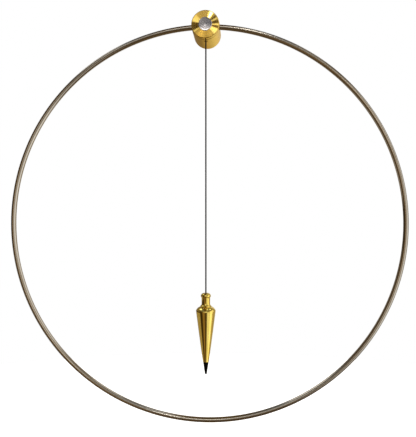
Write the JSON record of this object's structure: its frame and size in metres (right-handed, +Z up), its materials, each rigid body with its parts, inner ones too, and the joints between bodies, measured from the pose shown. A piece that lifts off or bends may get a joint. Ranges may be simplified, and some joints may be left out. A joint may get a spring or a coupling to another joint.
{
  "type": "pendulum wall clock",
  "caption": "Thin steel hoop hung from a round brass wall hub, with a brass plumb bob that swings inside the hoop on one cord.",
  "frame": {"origin": "centre of the face that meets the wall, on the hub's axis", "axes": "+Z up along the cord, +Y into the wall, -Y out towards the viewer, +X right as seen from the front"},
  "size_m": [0.61, 0.0622, 0.6273],
  "materials": {
    "satin_brass": "turned and satin polished",
    "polished_brass": "turned and polished",
    "satin_steel": "drawn rod, satin",
    "turned_steel": "turned, fine lathe marks",
    "zinc_steel": "zinc plated",
    "dark_steel": "blackened",
    "bronze": "sintered",
    "braided_line": "braided",
    "copper_winding": "enamelled wire",
    "black_plastic": "moulded",
    "board_green": "solder mask",
    "black_rubber": "matt",
    "nickel": "plated"
  },
  "bodies": {
    "hub": {"wall_plate": "zinc_steel", "hub_body": "satin_brass", "hub_locking_screw": "dark_steel", "ring": "satin_steel", "ring_grub_screws": "dark_steel", "pivot_spindle": "turned_steel", "spindle_nut": "zinc_steel", "spindle_spacer": "bronze", "spindle_circlip": "dark_steel", "coil_bobbin": "black_plastic", "drive_coil": "copper_winding", "coil_leads": "copper_winding", "board_pillars": "nickel", "circuit_board": "board_green", "board_screws": "zinc_steel", "control_chip": "black_plastic", "quartz_crystal": "nickel", "battery_holder": "black_plastic", "coin_cell": "nickel", "battery_clip": "nickel"},
    "front_cover": {"front_flange": "satin_brass", "cover_o_ring": "black_rubber", "centre_button": "turned_steel", "button_nut": "zinc_steel"},
    "pendulum_hanger": {"pendulum_hanger": "satin_brass", "hanger_bush": "bronze", "cord_clamp_screw": "zinc_steel", "drive_magnet": "nickel"},
    "cord": {"cord": "braided_line", "cord_knot": "braided_line"},
    "bob": {"bob_cap": "polished_brass", "bob_body": "polished_brass", "bob_tip": "dark_steel"}
  },
  "joints": [
    {"name": "pendulum_swing", "type": "hinge", "parent": "hub", "child": "pendulum_hanger", "pos_m": [0, -0.045, 0], "axis": [0, 1, 0], "range_deg": [-5, 5]},
    {"name": "cord_front_to_back", "type": "hinge", "parent": "pendulum_hanger", "child": "cord", "pos_m": [0, -0.045, -0.0115], "axis": [1, 0, 0], "range_deg": [-2.5, 2.5]},
    {"name": "bob_spin", "type": "hinge", "parent": "cord", "child": "bob", "pos_m": [0, -0.045, -0.4242], "axis": [0, 0, 1], "continuous": true},
    {"name": "front_cover_pull", "type": "slide", "parent": "hub", "child": "front_cover", "axis": [0, -1, 0], "range_m": [0, 0.03]}
  ]
}
